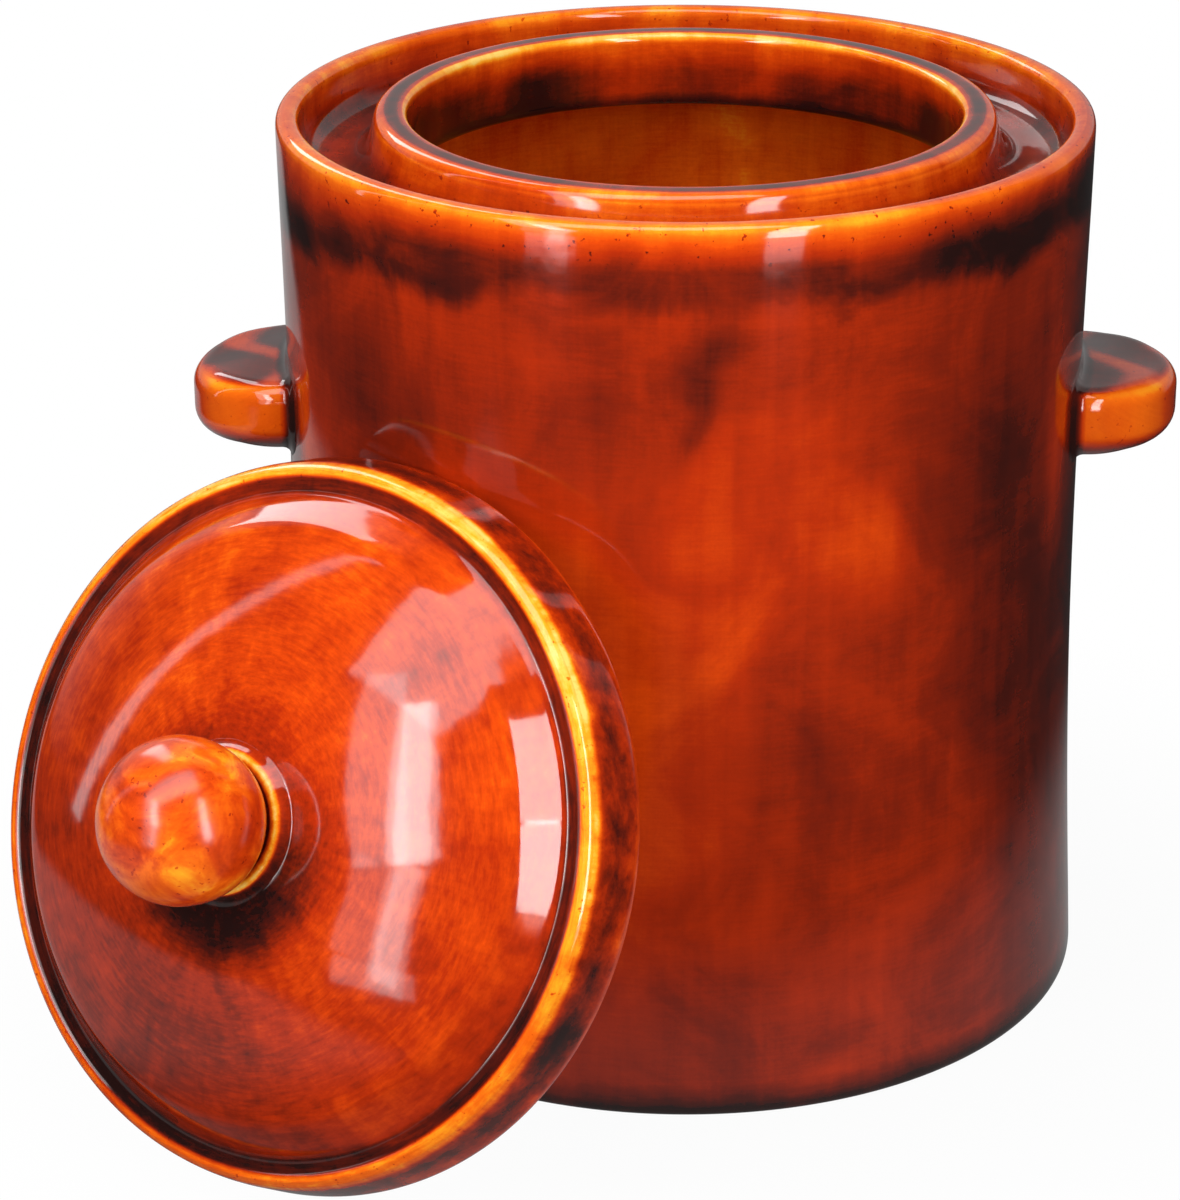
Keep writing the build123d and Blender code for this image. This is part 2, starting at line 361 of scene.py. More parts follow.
# jar body and neck
jarShape = {
    "height": 294.0, "waistRadius": 129.8, "waistHeight": 197.0, "footFlare": 5.2,
    "wall": 9.5, "floor": 11.0, "columns": 384, "rows": 250,
    "rimOutside": 130.965, "rimInside": 123.465, "gutterFloor": 276.5,
    "neckFoot": 103.465, "neckLip": 98.965, "neckInside": 88.765, "shelfUnder": 268.5,
    # first and last height of the section's points on the wall's two sides, and their number
    "wallPoints": (6, 284, 50), "insidePoints": (262, 26, 30),
    # how far the hand-thrown wall strays: amplitude mm, waves round, mm up per radian, start
    "stray": [(0.22, 2, 90, 0.4), (0.16, 3, -60, 1.9), (0.10, 5, 40, 0.8), (0.07, 8, -30, 2.6)],
    # the heights between which that fades in, and out again
    "strayFrom": (2, 30), "strayTo": (262, 288),
    # the swelling in front of each lug: mm out, degrees round from the front, how wide in radians,
    # its height and how tall
    "lugSwelling": {"rise": 0.55, "degrees": 67, "wide": 0.07, "height": 205, "tall": 16},
    # the dark run of double glaze below the rim: degrees round from the front, its lower edge in mm
    "runEdge": {
        -180: 270, -150: 267, -120: 272, -90: 266, -69: 263, -55: 265, -45: 267, -35: 264, -31: 263.5,
        -26: 271, -20: 275, -14: 271, -9: 269, 1: 268, 8: 268, 12: 271, 15: 272, 18: 268, 21: 264.5,
        26: 269, 33: 272, 40: 270, 48: 266, 54: 269, 61: 270, 76: 270, 100: 266, 125: 271, 150: 266,
        180: 270,
    },
    # its upper edge
    "runTop": {
        -180: 281, -110: 277, -76: 275, -56: 279, -43: 283, -24: 284, 10: 284, 27: 282, 46: 285,
        58: 286, 70: 288, 120: 280, 180: 281,
    },
    # how dark that run is at the same degrees
    "runDark": {
        -180: 0.7, -130: 1.0, -100: 0.8, -70: 1.0, -55: 0.95, -42: 0.95, -33: 1.0, -25: 0.55, -12: 0.5,
        0: 0.55, 10: 0.55, 16: 0.6, 21: 0.95, 28: 0.7, 36: 0.9, 47: 0.85, 60: 0.85, 80: 0.8, 110: 0.7,
        150: 0.9, 180: 0.7,
    },
    # soft clouds in the wall's glaze: degrees round, height, how wide and how tall, how much darker;
    # the dark ones on the sides, from 50 to 90 degrees round either way, are partly painted shade
    # where the wall turns from the lamps
    "cloudsAndShade": [
        (-82, 200, 12, 90, 0.14), (-55, 240, 9, 24, 0.10), (-47, 208, 4, 22, 0.09),
        (-38, 222, 3, 16, 0.06), (-14, 232, 8, 20, 0.07), (-3, 238, 8, 14, 0.06),
        (9, 250, 10, 9, 0.08), (27, 234, 5, 14, 0.09), (33, 200, 3, 30, 0.07), (50, 205, 6, 42, 0.15),
        (58, 140, 9, 70, 0.16), (90, 170, 20, 110, 0.30), (38, 130, 9, 50, 0.09),
        (18, 104, 7, 30, 0.13), (-2, 100, 10, 24, -0.05), (16, 168, 4, 30, 0.05),
        (-12, 165, 14, 40, -0.09), (8, 140, 7, 30, -0.06), (28, 190, 5, 24, -0.06),
        (66, 194, 3, 24, -0.24), (-67, 198, 3, 22, -0.20), (4, 42, 22, 20, 0.03),
        (42, 235, 6, 26, 0.10), (-24, 250, 6, 9, -0.06), (-30, 226, 18, 30, 0.05),
        (130, 180, 30, 60, 0.12), (-140, 150, 26, 50, -0.08), (172, 90, 30, 40, 0.10),
    ],
    # the glaze's plain depth, and what each part of the jar adds to it; the dark line at the shelf
    # under the neck is a painted shadow, and the paler glaze inside below the neck is painted light
    "depths": {
        "plain": 0.60, "rim": -0.20, "rimEdge": -0.20, "drip": 0.17, "foot": 0.40, "lowWall": 0.03,
        "hollow": 0.34, "gutter": -0.17, "gutterPool": 0.24, "neck": 0.15, "neckTop": -0.26,
        "neckEdge": -0.22, "lip": 0.24, "blots": 0.30, "shelfShadow": 0.30, "paintedLightInside": -0.29,
    },
    # the heights between which those parts fade in
    "fades": {
        "rim": (281, 292), "dripFoot": (217, 226), "dripTop": (258, 272), "dripWide": (228, 250),
        "foot": (1.5, 9), "lowWall": (8, 75), "gutterPool": (277, 287), "neckTop": (280, 288),
        "lip": (292, 293.8), "speck": (280, 287),
    },
    "blotBand": (277, 4.0),  # middle height and spread
    # the painted shadow along the shelf under the neck: middle height and spread
    "shelfShadowBand": (269.5, 2.2),
    "gutterLimits": (99.5, 272),  # the gutter lies past this radius and above this height
    "neckLimits": (92, 268),  # the neck's inner side lies within this radius and above this height
    "lipLimits": (90.6, 95.8),  # the lip's flat top lies between these radii
    "edgeGain": 2.6, "hollowGain": 3.0,  # how fast an edge or a hollow counts, for 1/mm of bend
}


def wallRadius(shape, height):
    # the waist radius plus the flare times the squared distance from the waist
    waist = shape["waistHeight"]
    return shape["waistRadius"] + shape["footFlare"] * ((height - waist) / waist) ** 2


def jarCorners(shape):
    # from the middle of the foot up the wall, over the rim, through the gutter, over the neck,
    # back out under its shelf and down the inside to the middle of the floor
    top, lip, floor = shape["height"], shape["rimInside"], shape["floor"]
    neckFoot, neckInside, shelf = shape["neckFoot"], shape["neckInside"], shape["shelfUnder"]
    insideWall = lambda z: wallRadius(shape, z) - shape["wall"]
    return (
        [(0, 0.8, 0), (110, 0.8, 1), (112, 0, 1), (wallRadius(shape, 0), 0, 3.2)]
        + [(wallRadius(shape, z), z, 0) for z in np.linspace(*shape["wallPoints"])]
        + [
            (shape["rimOutside"], top, 3.7), (lip, top, 3.4), (lip, shape["gutterFloor"], 9.3),
            (neckFoot, shape["gutterFloor"], 8.6), (shape["neckLip"], top, 3.2),
            (neckInside, top, 2.9), (neckInside, shelf, 2.6), (insideWall(268), shelf, 3.0),
        ]
        + [(insideWall(z), z, 0) for z in np.linspace(*shape["insidePoints"])]
        + [(insideWall(floor), floor, 12), (0, floor, 0)]
    )


def makeJar(shape):
    # a lathe about Z: (r sin a, -r cos a, z), with r strayed on the outer wall, a from the front
    path, bend, run = section(jarCorners(shape), shape["rows"])
    around = allAround(shape["columns"])
    radius, height = path[:, :1], path[:, 1:]
    crest = run[np.argmax(height > shape["height"] - 0.1)]
    outer = (run[:, None] < crest).astype(float)
    onWall = outer * step(height, *shape["strayFrom"]) * (1 - step(height, *shape["strayTo"]))
    lug = shape["lugSwelling"]
    swelling = bump(np.abs(around) - np.radians(lug["degrees"]), 0, lug["wide"])
    swelling = swelling * bump(height, lug["height"], lug["tall"])
    stray = onWall * (ripple(around, height, shape["stray"]) + lug["rise"] * swelling)
    strayed = np.maximum(radius + stray * (radius > 1), 0)
    grid = np.stack([strayed * np.sin(around), -strayed * np.cos(around), height + 0 * around], -1)
    numbers = jarNumbers(shape, np.degrees(around), radius, height, bend[:, None], outer)
    return closedMesh("glazedJar", grid, numbers)


def jarNumbers(shape, degrees, radius, height, bend, outer):
    # the glaze's tone: thin on edges, thick in hollows, dark at the foot, with soft clouds, partly
    # painted shade on the sides, a painted shadow under the neck's shelf and painted light inside
    # below the neck; run is how far above the dark run's lower edge a point is, in mm
    turn = np.radians(degrees)
    edge = np.clip(bend * shape["edgeGain"], 0, 1)
    hollow = np.clip(-bend * shape["hollowGain"], 0, 1)
    fade = lambda key: step(height, *shape["fades"][key])
    gutterRadius, gutterHeight = shape["gutterLimits"]
    neckRadius, neckHeight = shape["neckLimits"]
    lipInner, lipOuter = shape["lipLimits"]
    inside = (1 - outer) * (radius > 5)
    gutter = inside * (radius > gutterRadius) * (height > gutterHeight)
    neck = inside * (radius < neckRadius) * (height > neckHeight)
    # the drip leans and wavers on its way down, and the blots come where three waves add up
    dripMiddle = 0.4 + (height - 222) * 0.11 + 0.8 * np.sin(height / 4.5)
    drip = bump(degrees, dripMiddle, 1.1 + fade("dripWide"))
    waves = np.sin(7 * turn + 1.2) + np.sin(3 * turn + 2.0) + 0.5 * np.sin(17 * turn)
    masks = {
        "rim": outer * fade("rim"),
        "rimEdge": edge * (radius > 20) * (height > 289.5),
        "drip": outer * drip * fade("dripFoot") * (1 - fade("dripTop")),
        "foot": outer * (1 - fade("foot")),
        "lowWall": outer * (1 - fade("lowWall")),
        "hollow": hollow,
        "gutter": gutter,
        "gutterPool": gutter * (1 - fade("gutterPool")) * (1 + 0.25 * np.sin(9 * turn)),
        "neck": neck,
        "neckTop": neck * fade("neckTop"),
        "neckEdge": edge * inside * (radius < 100) * (height > 288),
        "lip": inside * (radius > lipInner) * (radius < lipOuter) * fade("lip"),
        "blots": neck * step(waves, 0.0, 1.8) * bump(height, *shape["blotBand"]),
        # a painted shadow along the shelf under the neck
        "shelfShadow": inside * (radius < neckRadius) * bump(height, *shape["shelfShadowBand"]),
        # painted light: paler glaze inside, below the neck, where light comes in through the mouth
        "paintedLightInside": inside * (height < neckHeight),
    }
    depth = layered(shape["depths"], masks)
    # the clouds; the dark ones on the sides are partly painted shade
    for middle, level, wide, tall, share in shape["cloudsAndShade"]:
        aside = (degrees - middle + 180) % 360 - 180
        depth = depth + outer * share * bump(aside, 0, wide) * bump(height, level, tall)
    along = lambda key: np.interp(degrees, list(shape[key]), list(shape[key].values()))
    run = np.clip(height - along("runEdge"), -40, 40)
    share = along("runDark") * (1 - step(height - along("runTop"), -6.5, 5.5)) * outer
    speck = 0.7 * outer * fade("speck") + 0.4 * gutter
    return glazeNumbers(depth, 1 + 0.5 * inside, speck, run, share, 0.0)


jarPiece = makeJar(jarShape)
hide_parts("jar_body", "neck_ring")
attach(jarPiece, "jar")
print("jar is thrown")

# lugs
lugShape = {
    "middle": 198.0, "reach": 31.6, "root": 1.0, "halfWidth": 33.8, "halfThickness": 11.7,
    "topRound": 6.5, "lowRound": 9.0, "sunk": 7.0, "rootFlare": 3.2, "columns": 180,
    "flatRows": 21, "roundRows": 12, "uprightRows": 8, "fanMiddle": (8.0, 0.0),
    # the glaze's tone; the darker faces that look down are painted shade
    "depths": {
        "plain": 0.36, "top": 0.52, "smear": -0.40, "under": 0.46, "topEdge": -0.16, "tip": 0.20,
        "root": 0.62,
    },
    # where those fade in: by how far a face looks up or down, mm from the middle line, and mm out
    # from the wall
    "fades": {"top": (0.72, 0.98), "under": (0.1, 0.85), "ends": (22, 34), "root": (1.0, 4.5)},
    "tipLength": 8,
    "dent": 0.35, "dentLengths": (6.0, 9.0), "dentStart": 0.8,
}


def makeLug(name, shape, jar, turn, droop):
    # a plate whose plan is the ellipse (a cos u, b sin u), cut flat inside the wall, carried down
    # a side that is flat, a quarter round, upright, a quarter round, flat; near the wall it all
    # moves out along its own normal by rho - sqrt(rho^2 - (rho - o)^2), o being the distance out
    wall = wallRadius(jar, shape["middle"])
    reach, half = shape["reach"], shape["halfThickness"]
    top, low = shape["topRound"], shape["lowRound"]
    u = allAround(shape["columns"])
    long, wide = reach + shape["root"], shape["halfWidth"]
    plan = np.stack([np.maximum(long * np.cos(u), -shape["sunk"]), wide * np.sin(u)], -1)
    normal = np.stack([np.cos(u) / long, np.sin(u) / wide], -1)
    normal /= np.linalg.norm(normal, axis=-1, keepdims=True)

    # the side, row by row: its tilt, how full the plan is, its level and its rounding
    flats, rounds, sides = shape["flatRows"], shape["roundRows"], shape["uprightRows"]
    quarter = np.linspace(np.pi / 2, 0, rounds)
    upward = np.full(flats, np.pi / 2)
    tilt = np.concatenate([upward, quarter, np.zeros(sides), -quarter[::-1], -upward])
    share = np.linspace(0, 1, flats + 1)[:-1] ** 0.8
    full = np.concatenate([share, np.ones(2 * rounds + sides), share[::-1]])
    ends = np.array([half - top, low - half])
    upright = np.linspace(*ends, sides + 2)[1:-1]
    above, below = (np.full(flats + rounds, end) for end in ends)
    level = np.concatenate([above, upright, below])
    rounding = np.where(level > 0, top, low)
    cut = np.where(np.abs(tilt) > 0, rounding, np.linspace(top, low, len(tilt)))
    tilt, full, level, cut = (v[:, None] for v in (tilt, full, level, cut))

    middle = np.array(shape["fanMiddle"])
    edge = plan - cut[..., None] * normal
    flat = middle + full[..., None] * (edge - middle) + (cut * np.cos(tilt))[..., None] * normal
    out = np.hypot(flat[..., 0] + wall - shape["root"], flat[..., 1]) - wall
    rho = shape["rootFlare"]
    flare = rho - np.sqrt(rho**2 - np.clip(rho - out, 0, rho) ** 2)
    flat = flat + (flare * np.cos(tilt))[..., None] * normal
    height = shape["middle"] + level + (cut + flare) * np.sin(tilt)
    hang = droop * (np.maximum(out, 0) / reach) ** 2
    outward, sideways = (flat[..., k] / length for k, length in enumerate(shape["dentLengths"]))
    dent = shape["dent"] * np.sin(outward + shape["dentStart"]) * np.cos(sideways)
    height = height - hang + dent * (np.abs(np.sin(tilt)) > 0.9)
    x, y = flat[..., 0] + wall - shape["root"], flat[..., 1]
    c, s = np.cos(turn), np.sin(turn)
    grid = np.stack([x * c - y * s, x * s + y * c, height], -1)

    fade = lambda key, value: step(value, *shape["fades"][key])
    lit = fade("top", np.sin(tilt))
    wave = np.sin(flat[..., 0] / 5.2 + y / 17.0 + 1.4 * np.sin(y / 8.0))
    depth = layered(shape["depths"], {
        "top": lit,
        "smear": lit * bump(wave, 1, 0.45),
        # painted shade on the faces that look down
        "under": fade("under", -np.sin(tilt)),
        "topEdge": bump(tilt, 0.75, 0.25) * (1 - 0.5 * fade("ends", np.abs(y))),
        "tip": step(out, reach - shape["tipLength"], reach) * (1 - lit),
        "root": 1 - fade("root", out),
    })
    numbers = glazeNumbers(depth, 0.7 + 0.5 * lit, 0.3)
    return closedMesh(name, grid[::-1], {key: field[::-1] for key, field in numbers.items()})


leftLug = makeLug("leftGlazedLug", lugShape, jarShape, np.pi, 2.5)
rightLug = makeLug("rightGlazedLug", lugShape, jarShape, radians(-1.5), 0.4)
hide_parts("left_lug")
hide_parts("right_lug")
for lugPiece in (leftLug, rightLug):
    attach(lugPiece, "jar")
print("lugs are on")

# lid and knob
lidShape = {
    "centre": (-107.816, -136.333, 103.690), "axis": (-0.512073, -0.764925, 0.390731),
    "across": (-0.830984, 0.556296, 0.0), "columns": 360, "rows": 250,
    "skirtInside": 106.265, "radius": 113.265, "shoulder": 108.7, "crest": 23.4,
    "crown": 54.0, "crownBow": 217.0, "knee": 90.2, "hollowCrown": 47.0, "hollowDrop": 18.7,
    "hollowRadius": 85.97, "hollowPoints": (6, 82, 20), "domeEnd": 29, "domePoints": 24,
    "seat": 54.8, "wobble": 0.25,
    "waves": [(0.5, 2, 25, 0.3), (0.35, 3, -18, 1.1), (0.2, 5, 14, 2.0)],
    # the glaze's tone; the knob's shadow, the ring round its foot, the dark side and the shade are
    # painted shade
    "depths": {
        "plain": 0.50, "groove": 0.29, "bead": -0.37, "skirt": 0.12, "skirtBand": 0.16,
        "shadedSide": 0.20, "shade": 0.055, "edge": -0.20, "hollow": 0.22, "middle": 0.16,
        "knobShadow": 0.42, "collar": -0.44, "seat": 0.34,
    },
    # where those fade in, in mm from the axis, or along it for the side
    "fades": {
        "groove": (100.2, 101.2), "grooveEnd": (104.6, 105.8), "bead": (105.0, 106.6),
        "side": (17.5, 20.5), "dome": (20, 70), "knobFootShadeEnd": (24, 44), "knobShadowEnd": (32, 47),
        "wobble": (30, 60), "wobbleEnd": (98, 104),
    },
    "sideRadius": 109.4,  # the skirt's outer side lies past this radius
    "edgeGain": 2.2, "hollowGain": 2.0,  # as for the jar
    # the directions round the axis, in radians, of the painted shadow below the knob, of the painted
    # shaded side and of the painted shade
    "knobShadowAt": 1.85, "shadedSideAt": 0.8, "shadeAt": 2.6,
    # middle and spread of each band: on the skirt along the axis, the others from the axis
    "skirtBand": (12, 3), "collarBand": (20.9, 0.9), "speckBand": (107.6, 2),
}


def lidPlace(shape, across, up, out):
    # from the lid's own directions to the room
    axis, side = np.array(shape["axis"]), np.array(shape["across"])
    third = np.cross(axis, side)
    across, up, out = (v[..., None] for v in (across, up, out))
    return np.array(shape["centre"]) + across * side + up * third + out * axis


def lidCorners(shape):
    # from the hollow's crown out to the skirt, round the edge, over the bead and the groove, up
    # the dome to the collar and its seat; the hollow is a parabola and the dome an arc
    arc = lambda r: shape["crown"] - shape["crownBow"] + np.sqrt(shape["crownBow"] ** 2 - r**2)
    hollow = lambda r: shape["hollowCrown"] - shape["hollowDrop"] * (r / shape["hollowRadius"]) ** 2
    knee, rim, crest = shape["knee"], shape["radius"], shape["crest"]
    return (
        [(0, shape["hollowCrown"], 0)]
        + [(r, hollow(r), 0) for r in np.linspace(*shape["hollowPoints"])]
        + [
            (86.5, 28.3, 5), (97.2, 20.0, 2), (104.0, 10.0, 3), (shape["skirtInside"], 4.0, 2),
            (shape["skirtInside"] + 0.8, 0.3, 1.8), (rim - 0.9, 0.2, 1.8), (rim, 3.2, 2.0),
            (110.3, 19.4, 3.0), (shape["shoulder"], crest - 0.6, 2.0), (106.6, crest + 0.4, 1.7),
            (104.4, 22.2, 1.3), (100.3, 22.4, 1.1), (knee, arc(knee), 2.6),
        ]
        + [(r, arc(r), 0) for r in np.linspace(knee - 4, shape["domeEnd"], shape["domePoints"])]
        + [
            (24.0, 52.67, 1.3), (22.2, 55.0, 1.1), (20.9, 55.9, 0.6), (19.2, 55.9, 0.6),
            (17.6, 55.2, 0.5), (16.0, shape["seat"], 0.4), (0, shape["seat"], 0),
        ]
    )


def makeLid(shape):
    # a lathe about the lid's axis, from the hollow's crown, round the edge, to the knob's seat
    path, bend, run = section(lidCorners(shape), shape["rows"])
    around = allAround(shape["columns"])
    radius, out = path[:, :1], path[:, 1:] + 0 * around
    edge = run[np.argmax(path[:, 0] > 113)]
    over = (run[:, None] > edge).astype(float)
    fade = lambda key: step(radius, *shape["fades"][key])
    wobble = over * shape["wobble"] * fade("wobble") * (1 - fade("wobbleEnd"))
    out = out + wobble * ripple(around, radius, shape["waves"])
    grid = lidPlace(shape, radius * np.cos(around), radius * np.sin(around), out)
    depth = lidDepth(shape, around, radius, out, bend[:, None], over)
    mottle = 1 + 0.9 * over * (radius > shape["sideRadius"])
    speck = 0.5 * over * bump(radius, *shape["speckBand"])
    return closedMesh("glazedLid", grid, glazeNumbers(depth, mottle, speck))


def lidDepth(shape, around, radius, out, bend, over):
    # orange on the dome, dark in the groove, yellow on the bead and the collar, brown on the skirt;
    # painted shade too: a painted shadow below the knob, a darker ring round the knob's foot, a darker
    # lower left, and a darker right with a paler upper left; over is 0 under the lid
    fade = lambda key: step(radius, *shape["fades"][key])
    above = step(out, *shape["fades"]["side"])
    groove = fade("groove") * (1 - fade("grooveEnd")) * (out > 20)
    bead = fade("bead") * above
    skirt = (radius > shape["sideRadius"]) * (1 - above)
    plain = (1 - groove) * (1 - bead) * (radius > 40)
    dome = fade("dome") * (1 - skirt)
    # which way the knob's painted shadow falls on the dome
    below = np.clip(np.cos(around - shape["knobShadowAt"]), 0, 1) ** 1.5
    masks = {
        "groove": groove,
        "bead": bead,
        "skirt": skirt,
        "skirtBand": skirt * bump(out, *shape["skirtBand"]),
        # painted shade on the dome's lower left
        "shadedSide": dome * bump(np.cos(around - shape["shadedSideAt"]), 1, 0.5),
        # painted shade: the dome darker to the right and paler to the upper left
        "shade": dome * np.cos(around - shape["shadeAt"]),
        "edge": plain * np.clip(bend * shape["edgeGain"], 0, 1),
        "hollow": plain * np.clip(-bend * shape["hollowGain"], 0, 1),
        # painted shade: a darker ring round the knob's foot
        "middle": (radius > 22) * (1 - fade("knobFootShadeEnd")) * (1 - skirt),
        # a painted shadow of the knob on the dome, below it
        "knobShadow": below * (radius > 21.8) * (1 - fade("knobShadowEnd")),
        "collar": bump(radius, *shape["collarBand"]),
        "seat": radius < 19.0,
    }
    return layered(shape["depths"], {key: over * mask for key, mask in masks.items()})


knobShape = {
    "seat": 54.6, "seatRadius": 15.8, "middle": 73.65, "radius": 25.0, "columns": 160, "rows": 120,
    "waves": [(0.006, 2, 30, 0.9), (0.005, 3, -22, 2.0)],
    "depths": {"plain": 0.38, "stem": 0.45},
    # along the axis: where the ball's unevenness fades in and half of it out, and the stem ends
    "unevenFrom": (58, 66), "unevenTo": (92, 98.6), "stemEnd": (55, 60),
}


def makeKnob(shape, lid):
    # a lathe about the lid's axis: a short stem and a ball, a little uneven by hand
    seat, stem, middle, size = (shape[key] for key in ("seat", "seatRadius", "middle", "radius"))
    turns = np.linspace(np.pi - np.arcsin(stem / size) - 0.03, 0.02, 60)
    ball = [(size * np.sin(t), middle + size * np.cos(t), 0) for t in turns]
    foot = [(0, seat, 0), (stem + 0.6, seat, 0.4), (stem, seat + 0.6, 0.3)]
    path = section(foot + ball + [(0, middle + size, 0)], shape["rows"], 1.0)[0]
    around = allAround(shape["columns"])
    radius, out = path[:, :1], path[:, 1:] + 0 * around
    full = step(out, *shape["unevenFrom"]) * (1 - 0.5 * step(out, *shape["unevenTo"]))
    radius = radius * (1 + full * ripple(around, out, shape["waves"]))
    grid = lidPlace(lid, radius * np.cos(around), radius * np.sin(around), out)
    depth = layered(shape["depths"], {"stem": 1 - step(out, *shape["stemEnd"])})
    return closedMesh("glazedKnob", grid, glazeNumbers(depth, 1, 0.4))


lidPiece = makeLid(lidShape)
knobPiece = makeKnob(knobShape, lidShape)
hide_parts("lid_shell")
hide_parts("lid_knob")
for lidPart in (lidPiece, knobPiece):
    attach(lidPart, "lid")
print("lid and knob are thrown")

# pressing weights
weightShape = {
    "radius": 85.765, "split": 3.0, "hole": 13.5, "low": 11.3, "thick": 20.0, "round": 3.0,
    "fanMiddle": 60.0, "arcPoints": 150, "bitePoints": 40, "edgePoints": 27,
}


def halfMoon(shape, side, inset):
    # outline at an inset: a half circle, the flat split edge and half of the finger hole
    outerR, holeR = shape["radius"] - inset, shape["hole"] + inset
    flat = shape["split"] / 2 + inset
    top, small = np.arccos(flat / outerR), np.arccos(flat / holeR)
    big = np.linspace(-top, top, shape["arcPoints"])
    little = np.linspace(small, -small, shape["bitePoints"])
    arc = np.stack([outerR * np.cos(big), outerR * np.sin(big)], 1)
    bite = np.stack([holeR * np.cos(little), holeR * np.sin(little)], 1)
    upper = np.linspace(arc[-1], bite[0], shape["edgePoints"])[1:-1]
    lower = np.linspace(bite[-1], arc[0], shape["edgePoints"])[1:-1]
    return np.concatenate([arc, upper, bite, lower]) * (side, side)


def makeWeight(name, shape, side):
    # the outline carried over a rounded edge: inset c(1 - cos t) and height c(1 - sin t), closed
    # to a middle point above and below
    t = np.linspace(0, np.pi / 2, 8)
    cut = shape["round"]
    insets = np.concatenate([cut * (1 - np.sin(t)), cut * (1 - np.cos(t))])
    heights = np.concatenate([cut * (1 - np.cos(t)), shape["thick"] - cut * (1 - np.sin(t))])
    rings = np.array([halfMoon(shape, side, i) for i in insets])
    middle = np.array([side * shape["fanMiddle"], 0.0])
    share = np.array([0.0, 0.25, 0.5, 0.75])[:, None, None]
    lowRings = middle + (rings[0] - middle) * share
    highRings = middle + (rings[-1] - middle) * share[::-1]
    flat = np.concatenate([lowRings, rings, highRings])
    levels = np.pad(heights, len(share), mode="edge")[:, None]
    sway = 0.15 * np.sin(flat[..., 0] / 17) * np.cos(flat[..., 1] / 23)
    height = shape["low"] + levels + sway * (levels > cut)
    return closedMesh(name, np.concatenate([flat, height[..., None]], -1), {})


leftWeight = makeWeight("leftPressingWeight", weightShape, -1)
rightWeight = makeWeight("rightPressingWeight", weightShape, 1)
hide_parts("left_weight")
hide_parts("right_weight")
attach(leftWeight, "weight_left")
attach(rightWeight, "weight_right")
print("weights are pressed")


def makeClay(name):
    # bare fired stoneware: two clay colours by a cloud, with dark grog specks
    material = bpy.data.materials.new(name)
    batch = Batch(material)
    place = batch.node("TexCoord", {}, {}, objectPlace)
    cloud = batch.noise(place, 38, 4, 0.6)
    speck = batch.between(batch.noise(place, 620, 2, 0.7), 0.14, 0.2)
    warm = batch.blended(cloud + 0.5, tone(205, 180, 148), tone(178, 148, 114))
    colour = batch.blended(speck * 0.6, warm, tone(98, 70, 48))
    rise = batch.noise(place, 480, 3, 0.6)
    bumpNode = batch.node("Bump", {}, {"Strength": 0.35, "Distance": 0.0006, "Height": rise})
    shader = batch.node(
        "BsdfPrincipled", {}, {"Base Color": colour, "Roughness": 0.82, "Normal": bumpNode}
    )
    batch.node("OutputMaterial", {}, {"Surface": shader})
    return material


# streak and brush are (waves round, waves per metre up, waves per metre out)
jarLook = {
    "turn": (0, 0, 0), "shift": (0, 0, 0), "gloss": 0.07,
    "streak": (16, 8, 0), "streakDepth": 0.15, "brush": (12, 900, 700), "brushDepth": 0.10,
    "blotchScale": 24, "blotchDepth": 0.42, "cloudShare": 0.33, "cloudDepth": 0.24,
    "grainScale": 1100, "grainDepth": 0.06,
    "speckScale": 420, "speckBetween": (0.15, 0.23), "speckDepth": 0.5,
    "runDepth": 0.31, "runMottle": 0.35, "runStreak": 2.5, "runBlotch": 11.0, "runSoft": 5.0,
    "bump": 0.05, "bumpDistance": 0.002, "brushRise": 0.010,
    "swellScale": 60, "swellRise": 0.6, "peelScale": 210, "peelRise": 0.10,
}
# the lid's glaze is laid out about the lid's own axis
lidThird = np.cross(lidShape["axis"], lidShape["across"]).tolist()
lidAim = Matrix([lidShape["across"], lidThird, lidShape["axis"]])
lidShift = -(lidAim @ Vector(lidShape["centre"])) * mm
lidLook = dict(
    jarLook, turn=tuple(lidAim.to_euler()), shift=tuple(lidShift), streak=(9, 60, 90),
    streakDepth=0.26, brush=(10, 300, 800), brushDepth=0.36, brushRise=0.002, blotchScale=30,
    cloudDepth=0.16,
)
knobLook = dict(
    lidLook, blotchScale=58, blotchDepth=1.05, cloudDepth=0.4, brushDepth=0.10, streakDepth=0.1,
    gloss=0.19,
)
jarGlaze = makeGlaze("jarGlaze", jarLook)
lidGlaze = makeGlaze("lidGlaze", lidLook)
knobGlaze = makeGlaze("knobGlaze", knobLook)
clay = makeClay("bareClay")
for piece, material in (
    (jarPiece, jarGlaze), (leftLug, jarGlaze), (rightLug, jarGlaze), (lidPiece, lidGlaze),
    (knobPiece, knobGlaze), (leftWeight, clay), (rightWeight, clay),
):
    piece.data.materials.append(material)
print("glaze is fired")

